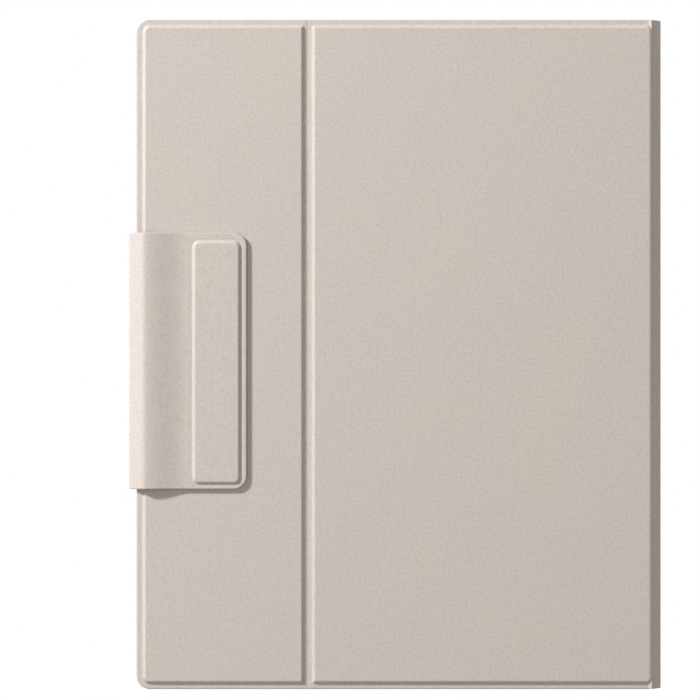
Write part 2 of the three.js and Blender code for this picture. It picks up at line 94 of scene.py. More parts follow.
def roundedDistance(x, y, box, radii):
    # signed distance to a rounded rectangle, below 0 inside
    # radii run round the corners: low left, low right, high right, high left
    cx, cy = (box[0] + box[1]) / 2, (box[2] + box[3]) / 2
    r = np.where(y < cy, np.where(x < cx, radii[0], radii[1]), np.where(x < cx, radii[3], radii[2]))
    qx = np.abs(x - cx) - (box[1] - box[0]) / 2 + r
    qy = np.abs(y - cy) - (box[3] - box[2]) / 2 + r
    return np.hypot(np.maximum(qx, 0), np.maximum(qy, 0)) + np.minimum(np.maximum(qx, qy), 0) - r


def outlineGrid(box, radii, xs, ys):
    # a grid that fills a rounded rectangle: near each end the columns shorten along the corner's arc
    x0, x1, y0, y1 = box

    def shorten(left, right):
        r = np.where(xs < (x0 + x1) / 2, left, right)
        inside = np.where(xs < (x0 + x1) / 2, xs - x0, x1 - xs)
        lack = np.clip(r - inside, 0, None)
        return r - np.sqrt(np.clip(r * r - lack * lack, 0, None))

    reach = 1.7 * max(max(radii), 0.0005)
    low, high = shorten(radii[0], radii[1]), shorten(radii[3], radii[2])
    x, y = np.meshgrid(xs, ys, indexing="ij")
    top = np.clip((y - (y1 - reach)) / reach, 0, 1) * high[:, None]
    bottom = np.clip(((y0 + reach) - y) / reach, 0, 1) * low[:, None]
    return x, y - top + bottom


def closedPlate(box, radii, xs, ys, top, bottom, roll):
    # a closed plate: top and bottom grids of heights, joined by quarter-round edges of radius roll
    inner = (box[0] + roll, box[1] - roll, box[2] + roll, box[3] - roll)
    xs = inner[0] + (xs - xs[0]) * (inner[1] - inner[0]) / (xs[-1] - xs[0])
    ys = inner[2] + (ys - ys[0]) * (inner[3] - inner[2]) / (ys[-1] - ys[0])
    x, y = outlineGrid(inner, [max(r - roll, 0.0001) for r in radii], xs, ys)
    zTop, zBottom = top(x, y), bottom(x, y)
    nx, ny = x.shape
    number = np.arange(nx * ny).reshape(nx, ny)
    loop = np.concatenate([number[:, 0], number[-1, 1:], number[-2::-1, -1], number[0, -2:0:-1]])
    flat = np.stack([x.ravel(), y.ravel()], 1)[loop]
    along = np.roll(flat, -1, 0) - np.roll(flat, 1, 0)
    outward = np.stack([along[:, 1], -along[:, 0]], 1) / np.linalg.norm(along, axis=1)[:, None]
    turns = np.radians([18, 36, 54, 72, 90])
    high, low = zTop.ravel()[loop], zBottom.ravel()[loop]
    rings = [(roll * np.sin(t), high - roll * (1 - np.cos(t))) for t in turns]
    rings += [(roll * np.sin(t), low + roll * (1 - np.cos(t))) for t in turns[::-1]]
    parts = [np.stack([x.ravel(), y.ravel(), zTop.ravel()], 1)]
    parts += [np.column_stack([flat + outward * out, z]) for out, z in rings]
    parts += [np.stack([x.ravel(), y.ravel(), zBottom.ravel()], 1)]
    quads = np.stack([number[:-1, :-1], number[1:, :-1], number[1:, 1:], number[:-1, 1:]], -1).reshape(-1, 4)
    start, count = nx * ny, len(loop)
    loops = [loop] + [start + k * count + np.arange(count) for k in range(len(rings))]
    last = start + len(rings) * count
    loops.append(last + loop)
    sides = [np.stack([a, b, np.roll(b, -1), np.roll(a, -1)], 1) for a, b in zip(loops[:-1], loops[1:])]
    return np.concatenate(parts), np.concatenate([quads, *sides, last + quads[:, ::-1]])


def makePiece(name, points, faces, slot):
    # puts points and quads into a smooth-shaded mesh object with its slot's finish
    mesh = bpy.data.meshes.new(name)
    mesh.vertices.add(len(points))
    mesh.vertices.foreach_set("co", points.astype(np.float32).ravel())
    mesh.loops.add(faces.size)
    mesh.loops.foreach_set("vertex_index", faces.astype(np.int32).ravel())
    mesh.polygons.add(len(faces))
    mesh.polygons.foreach_set("loop_start", np.arange(0, faces.size, 4, dtype=np.int32))
    mesh.polygons.foreach_set("use_smooth", np.ones(len(faces), bool))
    mesh.update(calc_edges=True)
    mesh.validate()
    mesh.materials.append(looks[slot])
    piece = bpy.data.objects.new(name, mesh)
    bpy.context.scene.collection.objects.link(piece)
    return piece


def newGroup(name, inputs, outputs):
    group = bpy.data.node_groups.new(name, "ShaderNodeTree")
    for label, kind, value in inputs:
        socket = group.interface.new_socket(label, in_out="INPUT", socket_type=kind)
        if value is not None:
            socket.default_value = value
    for label, kind in outputs:
        group.interface.new_socket(label, in_out="OUTPUT", socket_type=kind)
    return group, group.nodes.new("NodeGroupInput"), group.nodes.new("NodeGroupOutput")


def node(tree, kind, links=None, **settings):
    # adds a node; links maps an input's name or number to a socket or a plain value
    made = tree.nodes.new(kind)
    for key, value in settings.items():
        setattr(made, key, value)
    for key, value in (links or {}).items():
        if isinstance(value, bpy.types.NodeSocket):
            tree.links.new(value, made.inputs[key])
        else:
            made.inputs[key].default_value = value
    return made


def math2(tree, operation, a, b=0.0, clamp=False):
    return node(tree, "ShaderNodeMath", {0: a, 1: b}, operation=operation, use_clamp=clamp).outputs[0]


def mixColour(tree, factor, a, b):
    return node(tree, "ShaderNodeMix", {0: factor, 6: a, 7: b}, data_type="RGBA").outputs[2]


def newMaterial(name, **sockets):
    material = bpy.data.materials.new(name)
    material.use_nodes = True
    tree = material.node_tree
    shader = tree.nodes["Principled BSDF"]
    for key, value in sockets.items():
        shader.inputs[key.replace("_", " ")].default_value = value
    return material, tree, shader


def addBump(tree, shader, height, strength, depth):
    bump = node(tree, "ShaderNodeBump", {"Height": height, "Strength": strength, "Distance": depth})
    tree.links.new(bump.outputs[0], shader.inputs["Normal"])


def noise(tree, vector, scale, detail, **more):
    made = node(tree, "ShaderNodeTexNoise", {"Vector": vector, "Scale": scale, "Detail": detail, **more})
    return made.outputs["Fac"]


def linkOutputs(group, out, **sockets):
    for label, socket in sockets.items():
        group.links.new(socket, out.inputs[label])


# pebbled leatherette: rounded cells between fine creases, with pores, flecks and slow mottling
def leatherGrainGroup():
    group, given, out = newGroup(
        "leatherGrain",
        [("Vector", "NodeSocketVector", None), ("Cell", "NodeSocketFloat", 0.8 * mm)],
        [(label, "NodeSocketFloat") for label in ("Height", "Crease", "Mottle", "Fleck")],
    )
    vector = given.outputs["Vector"]
    density = math2(group, "DIVIDE", 1.0, given.outputs["Cell"])
    bend = node(group, "ShaderNodeTexNoise", {"Vector": vector, "Scale": 900.0, "Detail": 2.0})
    shift = node(group, "ShaderNodeVectorMath", {0: bend.outputs["Color"], 1: (0.5, 0.5, 0.5)},
                 operation="SUBTRACT")
    small = node(group, "ShaderNodeVectorMath", {0: shift.outputs[0], 3: 0.6 * mm}, operation="SCALE")
    where = node(group, "ShaderNodeVectorMath", {0: vector, 1: small.outputs[0]})
    cells = node(
        group, "ShaderNodeTexVoronoi", {"Vector": where.outputs[0], "Scale": density, "Randomness": 0.95},
        feature="DISTANCE_TO_EDGE",
    )
    domes = node(
        group, "ShaderNodeMapRange", {0: cells.outputs["Distance"], 1: 0.0, 2: 0.28, 3: 0.0, 4: 1.0},
        interpolation_type="SMOOTHSTEP",
    )
    pores, swell, fleck = (noise(group, vector, math2(group, "MULTIPLY", density, finer), detail)
                           for finer, detail in ((1.9, 3.0), (0.16, 2.0), (0.5, 2.0)))
    height = math2(group, "ADD", math2(group, "MULTIPLY", domes.outputs[0], 0.55),
                   math2(group, "MULTIPLY", pores, 0.5))
    height = math2(group, "ADD", height, math2(group, "MULTIPLY", swell, 0.35))
    crease = math2(group, "SUBTRACT", 1.0, domes.outputs[0], True)
    linkOutputs(group, out, Height=height, Crease=crease, Mottle=noise(group, vector, 26.0, 5.0), Fleck=fleck)
    return group


leatherGrain = leatherGrainGroup()


leatherLook = {
    "tone": srgb(209, 200, 193),
    "warmTone": srgb(211, 201, 192),
    # the dark tone serves both painted shade in the grain's creases and the leather's own flecks
    "creaseTone": srgb(184, 175, 167),
    "creaseShare": 0.2,  # painted shade: how far a crease of the grain darkens towards the dark tone
    "fleckShare": 0.5,  # and how far a fleck, the leather's own speck, darkens
    "cell": 0.52 * mm,
    "roughness": 0.57,
    "creaseRoughness": 0.16,
    "bump": 0.55,
    "depth": 0.02 * mm,
}


def leatherette():
    look = leatherLook
    material, tree, shader = newMaterial("leatherette", Specular_IOR_Level=0.42)
    place = node(tree, "ShaderNodeTexCoord").outputs["Object"]
    grain = node(tree, "ShaderNodeGroup", {}, node_tree=leatherGrain)
    tree.links.new(place, grain.inputs["Vector"])
    grain.inputs["Cell"].default_value = look["cell"]
    blotch = node(tree, "ShaderNodeMapRange", {0: grain.outputs["Mottle"], 1: 0.3, 2: 0.7, 3: 0.0, 4: 1.0})
    base = mixColour(tree, blotch.outputs[0], look["tone"], look["warmTone"])
    fleck = node(tree, "ShaderNodeMapRange",
                 {0: grain.outputs["Fleck"], 1: 0.32, 2: 0.68, 3: 0.0, 4: look["fleckShare"]})
    # painted shade: the grain's creases darken in colour as if shade lay in them; the flecks are the
    # leather's own specks and darken to the same tone
    creased = math2(tree, "MULTIPLY", grain.outputs["Crease"], look["creaseShare"])
    creaseShadeAndFleck = math2(tree, "MAXIMUM", creased, fleck.outputs[0])
    tree.links.new(mixColour(tree, creaseShadeAndFleck, base, look["creaseTone"]), shader.inputs["Base Color"])
    rough = math2(tree, "MULTIPLY", grain.outputs["Crease"], look["creaseRoughness"])
    tree.links.new(math2(tree, "ADD", rough, look["roughness"]), shader.inputs["Roughness"])
    addBump(tree, shader, grain.outputs["Height"], look["bump"], look["depth"])
    return material


# short brushed nap: fine streaks crossed by a slower cloud
def fibreGroup():
    group, given, out = newGroup(
        "fibreNap", [("Vector", "NodeSocketVector", None)],
        [(label, "NodeSocketFloat") for label in ("Height", "Cloud", "Fleck")],
    )
    vector = given.outputs["Vector"]
    along = node(group, "ShaderNodeMapping", {"Vector": vector, "Scale": (3800.0, 1300.0, 2600.0)})
    streak = noise(group, along.outputs[0], 1.0, 3.0, Distortion=0.8)
    dots = noise(group, vector, 5200.0, 1.0)
    height = math2(group, "ADD", streak, math2(group, "MULTIPLY", dots, 0.4))
    linkOutputs(group, out, Height=height, Cloud=noise(group, vector, 45.0, 4.0), Fleck=dots)
    return group


fibreNap = fibreGroup()


microfibreLook = {
    "tone": srgb(168, 160, 151),
    "paleTone": srgb(184, 176, 167),
    "fleckTone": srgb(150, 142, 133),
    "sheenTone": srgb(226, 222, 216),
    "sheen": 0.35,
    "bump": 0.5,
    "depth": 0.03 * mm,
}


def microfibre():
    look = microfibreLook
    material, tree, shader = newMaterial(
        "microfibre", Roughness=0.95, Specular_IOR_Level=0.2, Sheen_Weight=look["sheen"],
        Sheen_Roughness=0.45, Sheen_Tint=look["sheenTone"],
    )
    nap = node(tree, "ShaderNodeGroup", {}, node_tree=fibreNap)
    tree.links.new(node(tree, "ShaderNodeTexCoord").outputs["Object"], nap.inputs["Vector"])
    base = mixColour(tree, nap.outputs["Cloud"], look["tone"], look["paleTone"])
    fleck = node(tree, "ShaderNodeMapRange", {0: nap.outputs["Fleck"], 1: 0.45, 2: 0.75, 3: 0.0, 4: 0.5})
    tree.links.new(mixColour(tree, fleck.outputs[0], base, look["fleckTone"]), shader.inputs["Base Color"])
    addBump(tree, shader, nap.outputs["Height"], look["bump"], look["depth"])
    return material


# fine moulded or rolled speckle for plastics, foil and metal
def speckleGroup():
    group, given, out = newGroup(
        "fineSpeckle",
        [("Vector", "NodeSocketVector", None), ("Stretch", "NodeSocketVector", (1.0, 1.0, 1.0)),
         ("Scale", "NodeSocketFloat", 2500.0)],
        [(label, "NodeSocketFloat") for label in ("Height", "Tone", "Smudge")],
    )
    vector = given.outputs["Vector"]
    placed = node(group, "ShaderNodeVectorMath", {0: vector, 1: given.outputs["Stretch"]},
                  operation="MULTIPLY")
    fine = noise(group, placed.outputs[0], given.outputs["Scale"], 4.0)
    tone = noise(group, placed.outputs[0], 140.0, 3.0)
    smudge = noise(group, vector, 38.0, 5.0, Roughness=0.62)
    linkOutputs(group, out, Height=fine, Tone=tone, Smudge=smudge)
    return group


fineSpeckle = speckleGroup()


def speckled(name, light, dark, roughness, metal=0.0, stretch=(1.0, 1.0, 1.0), scale=2500.0,
             depth=0.02 * mm, coat=0.0):
    # light and dark are the two screen tones that the colour drifts between, and the roughness drifts too
    drift = 0.06
    material, tree, shader = newMaterial(name, Metallic=metal, Coat_Weight=coat)
    look = node(tree, "ShaderNodeGroup", {}, node_tree=fineSpeckle)
    tree.links.new(node(tree, "ShaderNodeTexCoord").outputs["Object"], look.inputs["Vector"])
    look.inputs["Stretch"].default_value = stretch
    look.inputs["Scale"].default_value = scale
    tone = mixColour(tree, look.outputs["Tone"], srgb(*light), srgb(*dark))
    tree.links.new(tone, shader.inputs["Base Color"])
    rough = node(tree, "ShaderNodeMapRange",
                 {0: look.outputs["Smudge"], 1: 0.3, 2: 0.7, 3: roughness - drift, 4: roughness + drift})
    tree.links.new(rough.outputs[0], shader.inputs["Roughness"])
    addBump(tree, shader, look.outputs["Height"], 0.4, depth)
    return material


screenLook = {
    "tone": srgb(190, 190, 184),
    "paleTone": srgb(205, 205, 199),
    "inkTone": srgb(120, 122, 122),
    "ink": 0.45,
    "lineGap": 9 * mm,
    "lineHalf": 0.16 * mm,
    "pageHalf": (69 * mm, 93 * mm),
    "grain": 3800.0,
    "roughness": (0.74, 0.82),
    "bump": 0.25,
    "depth": 0.01 * mm,
}


def paperScreen():
    # e-paper: warm grey, faint capsule grain and thin ruled lines
    s = screenLook
    material, tree, shader = newMaterial("paperScreen", Specular_IOR_Level=0.35)
    place = node(tree, "ShaderNodeTexCoord").outputs["Object"]
    look = node(tree, "ShaderNodeGroup", {}, node_tree=fineSpeckle)
    tree.links.new(place, look.inputs["Vector"])
    look.inputs["Scale"].default_value = s["grain"]
    base = mixColour(tree, look.outputs["Height"], s["tone"], s["paleTone"])
    apart = node(tree, "ShaderNodeSeparateXYZ", {0: place})
    lines = math2(tree, "PINGPONG", math2(tree, "ADD", apart.outputs["Y"], 0.5), s["lineGap"] / 2)
    ruled = node(tree, "ShaderNodeMapRange", {0: lines, 1: 0.0, 2: s["lineHalf"], 3: 1.0, 4: 0.0},
                 interpolation_type="SMOOTHSTEP")
    inPage = [math2(tree, "LESS_THAN", math2(tree, "ABSOLUTE", apart.outputs[axis]), half)
              for axis, half in zip("XY", s["pageHalf"])]
    onPage = math2(tree, "MULTIPLY", inPage[1], inPage[0])
    ink = math2(tree, "MULTIPLY", math2(tree, "MULTIPLY", ruled.outputs[0], onPage), s["ink"])
    tree.links.new(mixColour(tree, ink, base, s["inkTone"]), shader.inputs["Base Color"])
    low, high = s["roughness"]
    rough = node(tree, "ShaderNodeMapRange", {0: look.outputs["Smudge"], 1: 0.3, 2: 0.7, 3: low, 4: high})
    tree.links.new(rough.outputs[0], shader.inputs["Roughness"])
    addBump(tree, shader, look.outputs["Height"], s["bump"], s["depth"])
    return material


looks = {
    "leatherette": leatherette(),
    "microfibre": microfibre(),
    "stiffener": speckled("pressedBoard", (150, 144, 134), (128, 121, 111), 0.9, scale=1400.0,
                          depth=0.08 * mm),
    "magnet": speckled("nickelPlate", (196, 198, 200), (176, 178, 181), 0.28, metal=1.0),
    "steel": speckled("pressedSteel", (188, 190, 192), (166, 168, 171), 0.36, metal=1.0,
                      stretch=(0.15, 1.0, 1.0)),
    "shell": speckled("readerShell", (196, 195, 192), (188, 187, 183), 0.7),
    "bezel": speckled("readerBezel", (209, 207, 202), (202, 200, 195), 0.68),
    "lens": paperScreen(),
    "sensor_glass": speckled("sensorFilm", (190, 196, 190), (178, 184, 178), 0.2, coat=0.3),
    "panel_glass": speckled("paperPanel", (204, 206, 199), (194, 197, 190), 0.5),
    "circuit": speckled("solderMask", (44, 92, 70), (34, 76, 58), 0.35, scale=900.0, coat=0.4),
    "pouch": speckled("pouchFoil", (122, 125, 130), (104, 107, 112), 0.42, metal=0.7, depth=0.06 * mm),
    "black_plastic": speckled("mouldedBlack", (44, 45, 48), (34, 35, 38), 0.5),
    "flex": speckled("amberFilm", (176, 118, 46), (150, 96, 34), 0.32, coat=0.2),
}
print("materials made")

slotOf = {part["node"]: part["material_slot"] for part in frame["record"]["subparts"]}
for name, solid in frame["nodes"].items():
    solid.data.materials.clear()
    solid.data.materials.append(looks[slotOf[name]])

narrowLow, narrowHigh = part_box("narrow_skin")
wideLow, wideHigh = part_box("wide_skin")
linerLow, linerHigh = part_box("wide_lining")
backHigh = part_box("back_skin")[1]
jointPlace = {joint["name"]: joint.get("pos_m") for joint in frame["record"]["behaviour"]["joints"]}

coverSizes = {
    "rim": 1.9 * mm,  # flat leatherette outside the boards
    "endRim": 1.65 * mm,  # the same at the two short ends
    "rise": 1.25 * mm,  # how far the boards stand above the rim
    "slope": 1.45 * mm,  # width of the boards' embossed edge
    "spineSlope": 1.65 * mm,
    "spineBlend": (3 * mm, 1 * mm),  # how far in from the spine the rounder edge begins and is whole
    "crease": jointPlace["cover_crease"][0],
    "channel": 1.1 * mm,  # half the flat between the boards
    "corner": 4.8 * mm,  # the skin's own, at the free edge
    "boardCorner": 2.9 * mm,
    "channelCorner": 1.2 * mm,
    "spineCorner": 2.4 * mm,
    "pastEdge": 0.65 * mm,  # how far the foot lies past the spine side, where the slope runs on down
    "roll": 0.42 * mm,  # radius of the skin's turned edge
    "border": 2.3 * mm,  # turned-in leatherette that shows round the lining
    "spineBorder": 0.9 * mm,
    "liningCorner": 0.6 * mm,
    "liningRoll": 0.16 * mm,
    "plainCorner": 1 * mm,  # the skin's corners at the spine
    "under": 0.02 * mm,  # how far the skin's underside stands above the solid's
    "groove": 0.10 * mm,  # depth and width of the fold line in the channel
    "grooveWidth": 0.35 * mm,
    "bend": 1.3 * mm,  # half the stretch either side of the crease
}

gridSteps = {
    "coarse": 5 * mm,
    "fine": 0.16 * mm,
    "edge": 5.5 * mm,  # how far in from an edge the fine step holds
    "spineEdge": 3.5 * mm,
    "crease": 3.6 * mm,
}

topZ = wideHigh.z
rimZ = topZ - coverSizes["rise"]
panelLeft, panelRight = narrowLow.x, wideHigh.x
panelEnd = wideHigh.y


def boardEdge(distance, slope):
    # height share of an embossed edge: 3t^2 - 2t^3 from its foot to the flat
    return smoothStep(-distance / slope)


def spineEdge(distance, slope):
    # height share of the boards' spine side, which runs on down the spine: 1 - (1 - t)^2
    return 1 - (1 - np.clip(-distance / slope, 0, 1)) ** 2


def boards(x, y, footBoxes):
    # the highest of the raised boards at each point, with the rounder edge near the spine
    s = coverSizes
    rise = np.zeros_like(x)
    far, near = s["spineBlend"]
    nearSpine = smoothStep((x - panelRight + far) / (far - near))
    for box, radii in footBoxes:
        distance = roundedDistance(x, y, box, radii)
        edge = boardEdge(distance, s["slope"])
        edge = edge + (spineEdge(distance, s["spineSlope"]) - edge) * nearSpine
        rise = np.maximum(rise, edge)
    return rise * s["rise"]


def level(height):
    # a flat face for closedPlate
    return lambda x, y: np.full_like(x, height)


def panelStations(left, right, creased):
    # grid lines over a panel, fine along its edges and its crease
    g = gridSteps
    xSpans = [(left, left + g["edge"]), (right - g["spineEdge"], right)]
    if creased:
        xSpans.append((coverSizes["crease"] - g["crease"], coverSizes["crease"] + g["crease"]))
    ySpans = [(-panelEnd, -panelEnd + g["edge"]), (panelEnd - g["edge"], panelEnd)]
    xs = gradedLine(left, right, xSpans, g["coarse"], g["fine"])
    ys = gradedLine(-panelEnd, panelEnd, ySpans, g["coarse"], g["fine"])
    return xs, ys


def coverFeet():
    # where the two raised boards start: a box and its corner radii for each
    s = coverSizes
    footEnd = panelEnd - s["endRim"]
    narrow = (panelLeft + s["rim"], s["crease"] - s["channel"], -footEnd, footEnd)
    wide = (s["crease"] + s["channel"], panelRight + s["pastEdge"], -footEnd, footEnd)
    return [
        (narrow, [s["boardCorner"], s["channelCorner"], s["channelCorner"], s["boardCorner"]]),
        (wide, [s["channelCorner"], s["spineCorner"], s["spineCorner"], s["channelCorner"]]),
    ]


def panelLeather(right, feet, creased):
    # a panel's skin: the boards' heights over a flat underside
    # the crease has a fold line of depth e^-(x / w)^2
    s = coverSizes
    xs, ys = panelStations(panelLeft, right, creased)

    def top(x, y):
        groove = s["groove"] * np.exp(-(((x - s["crease"]) / s["grooveWidth"]) ** 2)) if creased else 0
        return rimZ + boards(x, y, feet) - groove

    radii = [s["corner"], s["plainCorner"], s["plainCorner"], s["corner"]]
    box = (panelLeft, right, -panelEnd, panelEnd)
    return closedPlate(box, radii, xs, ys, top, level(wideLow.z + s["under"]), s["roll"])


def coverSkin():
    points, faces = panelLeather(panelRight, coverFeet(), True)
    piece = makePiece("cover_leather", points, faces, "leatherette")
    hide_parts("wide_skin", "narrow_skin")
    creaseBlend(piece)


def creaseBlend(piece):
    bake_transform(piece)


def liningPlate(name, left, right, low, high, creased, nodes):
    s = coverSizes
    b = s["border"]
    xs, ys = panelStations(left + b, right - s["spineBorder"], creased)
    ys = ys * (panelEnd - b) / panelEnd
    box = (left + b, right - s["spineBorder"], -panelEnd + b, panelEnd - b)
    radii = [s["corner"] - b, s["liningCorner"], s["liningCorner"], s["corner"] - b]
    points, faces = closedPlate(box, radii, xs, ys, level(high), level(low), s["liningRoll"])
    piece = makePiece(name, points, faces, "microfibre")
    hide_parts(*nodes)
    return piece


def backSkin():
    # the front cover's build turned over, with one board over the whole panel
    s = coverSizes
    footEnd = panelEnd - s["endRim"]
    feet = [((panelLeft + s["rim"], backHigh.x + s["pastEdge"], -footEnd, footEnd),
             [s["boardCorner"], s["spineCorner"], s["spineCorner"], s["boardCorner"]])]
    points, faces = panelLeather(backHigh.x, feet, False)
    points[:, 2] = topZ - points[:, 2]
    piece = makePiece("back_leather", points, faces[:, ::-1], "leatherette")
    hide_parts("back_skin")
    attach(piece, "back")


coverSkin()
lining = liningPlate("cover_lining", panelLeft, panelRight, linerLow.z, linerHigh.z, True,
                     ["wide_lining", "narrow_lining"])
creaseBlend(lining)
backSkin()
backLinerLow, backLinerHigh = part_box("back_lining")
backLining = liningPlate("back_panel_lining", panelLeft, backHigh.x, backLinerLow.z, backLinerHigh.z, False,
                         ["back_lining"])
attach(backLining, "back")
print("panels made")

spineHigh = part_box("spine_skin")[1]

spineSizes = {
    "nose": spineHigh.x,
    "foot": panelRight + 0.02 * mm,
    "power": 1.2,  # 1 is a straight flank and 2 an ellipse
    "inset": 0.4 * mm,  # how far the flank's top stays under the cover's face
    "skin": 0.75 * mm,
    "lining": (0.82 * mm, 1.2 * mm),  # its two faces' depths in from the skin's face
    "liningShort": 0.3 * mm,
    "stations": 46,  # grid lines round the flank
    "roll": 0.12 * mm,
    "end": panelEnd - 0.1 * mm,
    "bend": ((2 * mm, 2.9 * mm), (0.35 * mm, 0.7 * mm)),  # start and end, past the panel and under the top
    "tuck": (1.1 * mm, 0.5 * mm),  # how far the flank's end runs in and down under the cover
}


def curveFrame(points):
    # arc length, and a smooth left-hand normal, along a dense polyline of (x, z)
    step = np.gradient(points, axis=0)
    step /= np.linalg.norm(step, axis=1)[:, None]
    length = np.concatenate([[0], np.cumsum(np.linalg.norm(np.diff(points, axis=0), axis=1))])
    return length, np.stack([-step[:, 1], step[:, 0]], 1)


def alongCurve(points, curve):
    # bends a flat plate (u, y, n) onto a curve in X and Z: u runs along it and n stands off it
    length, normal = curveFrame(curve)
    u, y, n = points.T
    x, z = (np.interp(u, length, curve[:, k]) for k in (0, 1))
    nx, nz = (np.interp(u, length, normal[:, k]) for k in (0, 1))
    size = np.hypot(nx, nz)
    return np.stack([x + nx / size * n, y, z + nz / size * n], 1)


def spineFlank():
    # |x / a|^p + |z / b|^p = 1 from the nose at mid height up to the cover's edge, then tucked under it
    s = spineSizes
    a, middle = s["nose"] - s["foot"], topZ / 2
    b = middle - s["inset"]
    t = np.linspace(0, 1, 200)
    z = b * np.sin(t * math.pi / 2) * 0.995
    x = a * np.clip(1 - (z / b) ** s["power"], 0, 1) ** (1 / s["power"])
    curve = np.stack([s["foot"] + x, middle + z], 1)
    inward, down = s["tuck"]
    t = np.linspace(0, 1, 12)[1:]
    tuck = np.stack([curve[-1, 0] - inward * t, curve[-1, 1] - down * smoothStep(t)], 1)
    return np.concatenate([curve, tuck])


def spineHalf(name, depth, end, slot, solid, lower):
    # a sheet on the flank between two depths, from the nose to the cover, or mirrored down to the back
    curve = spineFlank()
    length, _ = curveFrame(curve)
    total = length[-1]
    us = np.linspace(0, total, spineSizes["stations"])
    ys = gradedLine(-end, end, [(-end, -end + 1 * mm), (end - 1 * mm, end)], 6 * mm, 0.2 * mm)
    outer, inner = depth
    roll = min(spineSizes["roll"], (inner - outer) * 0.3)
    # travelling up the flank the left-hand side is inside, so the outer face is the plate's bottom
    points, faces = closedPlate((-roll, total, -end, end), [0.1 * mm] * 4, us, ys,
                                level(inner), level(outer), roll)
    points[:, 0] = np.clip(points[:, 0], 0, None)
    points = alongCurve(points, curve)
    if lower:
        points[:, 2] = topZ - points[:, 2]
        faces = faces[:, ::-1]
    piece = makePiece(name, points, faces, slot)
    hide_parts(solid)
    ends = [(panelRight + past, 0, under if lower else topZ - under) for past, under in spineSizes["bend"]]
    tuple(ends[0])
    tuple(ends[1])
    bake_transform(piece)


for half, lower in (("upper", False), ("lower", True)):
    end, inner = spineSizes["end"], spineSizes["end"] - spineSizes["liningShort"]
    spineHalf(f"spine_leather_{half}", (0, spineSizes["skin"]), end, "leatherette", "spine_skin", lower)
    spineHalf(f"spine_inside_{half}", spineSizes["lining"], inner, "microfibre", "spine_lining", lower)
print("spine made")

flapLow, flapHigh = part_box("flap_skin")
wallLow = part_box("flap_wall_skin")[0]

flapSizes = {
    "bulge": wallLow.x,
    "right": flapHigh.x,
    "top": flapHigh.y,
    "bottom": flapLow.y,
    "strapTop": flapHigh.z - 1.75 * mm,  # outer face of the flat strap
    "hump": 1.75 * mm,  # and how far the hump stands above it
    "thick": 1.3 * mm,
    "crestX": wallLow.x + 6.2 * mm,
    "humpEndX": wallLow.x + 20.6 * mm,
    "lowTurn": 2.5 * mm,  # radii of the three turns: root to wall, wall to facet, facet to crest
    "highTurn": 2 * mm,
    "crestTurn": 2.3 * mm,
    "facetTilt": 38,  # degrees, the slanting face between the wall and the crest
    "corner": 4.7 * mm,
    "padRise": 0.9 * mm,
    "padInset": 1.8 * mm,  # from the pad's foot to the strap's end
    "padWidth": 17.85 * mm,
    "padEnds": (2.6 * mm, 1.45 * mm),  # from the foot to the strap's top and bottom sides
    "padCorner": 2.8 * mm,
    "padSlope": 1.4 * mm,
    "padReach": 4.4 * mm,  # how far the fine grid runs in from the pad's sides
    "padSink": 0.07 * mm,  # depth and width of the dip along the pad's foot
    "padSinkWidth": 0.35 * mm,
    "skin": 0.84 * mm,
    "lining": 0.4 * mm,
    "liningGap": 0.02 * mm,
    "liningInset": 0.35 * mm,
    "rootPast": 0.3 * mm,  # where the wall's turn starts, past the panel's edge
    "rootTail": 1.6 * mm,
    "rootHeight": 0.9 * mm,
    "rootCorner": 0.1 * mm,
    "split": 3.4 * mm,  # length of the root piece past the panel's edge
    "overlap": (0.35 * mm, 0.2 * mm),  # of the leatherette and the lining over the root piece
    "rootBend": (3 * mm, 0.2 * mm),  # height and distance past the bulge where the root's bend ends
    "turnBend": ((0.3 * mm, 8.2 * mm), (4.6 * mm, 13.2 * mm)),  # past the bulge and up, from start to end
}


def arcPoints(cx, cz, radius, start, end, count):
    a = np.radians(np.linspace(start, end, count))
    return np.stack([cx + radius * np.cos(a), cz + radius * np.sin(a)], 1)


def flapCurve():
    # outer face in X and Z: out of the back panel's edge, up the wall, along the slanting facet,
    # over the crest, down to the cover by 1 - (3t^2 - 2t^3), and flat
    s = flapSizes
    crest = s["strapTop"] + s["hump"]
    lean = math.radians(s["facetTilt"])
    root = panelLeft - s["rootPast"]
    tail = np.stack([np.linspace(root + s["rootTail"], root, 20), np.full(20, s["rootHeight"])], 1)[:-1]
    low = arcPoints(root, s["rootHeight"] + s["lowTurn"], s["lowTurn"], 270, 180, 60)
    over = arcPoints(s["crestX"], crest - s["crestTurn"], s["crestTurn"], 90 + s["facetTilt"], 90, 60)
    turned = arcPoints(s["bulge"] + s["highTurn"], 0, s["highTurn"], 180, 90 + s["facetTilt"], 60)
    turned[:, 1] += over[0, 1] - (over[0, 0] - turned[-1, 0]) * math.tan(lean) - turned[-1, 1]
    wall = np.linspace(low[-1], turned[0], 60)[1:-1]
    facet = np.linspace(turned[-1], over[0], 60)[1:-1]
    t = np.linspace(0, 1, 160)[1:]
    run = np.stack([s["crestX"] + (s["humpEndX"] - s["crestX"]) * t, crest - s["hump"] * smoothStep(t)], 1)
    flat = np.stack([np.linspace(s["humpEndX"], s["right"], 120)[1:], np.full(119, s["strapTop"])], 1)
    return np.concatenate([tail, low, wall, turned, facet, over, run, flat])


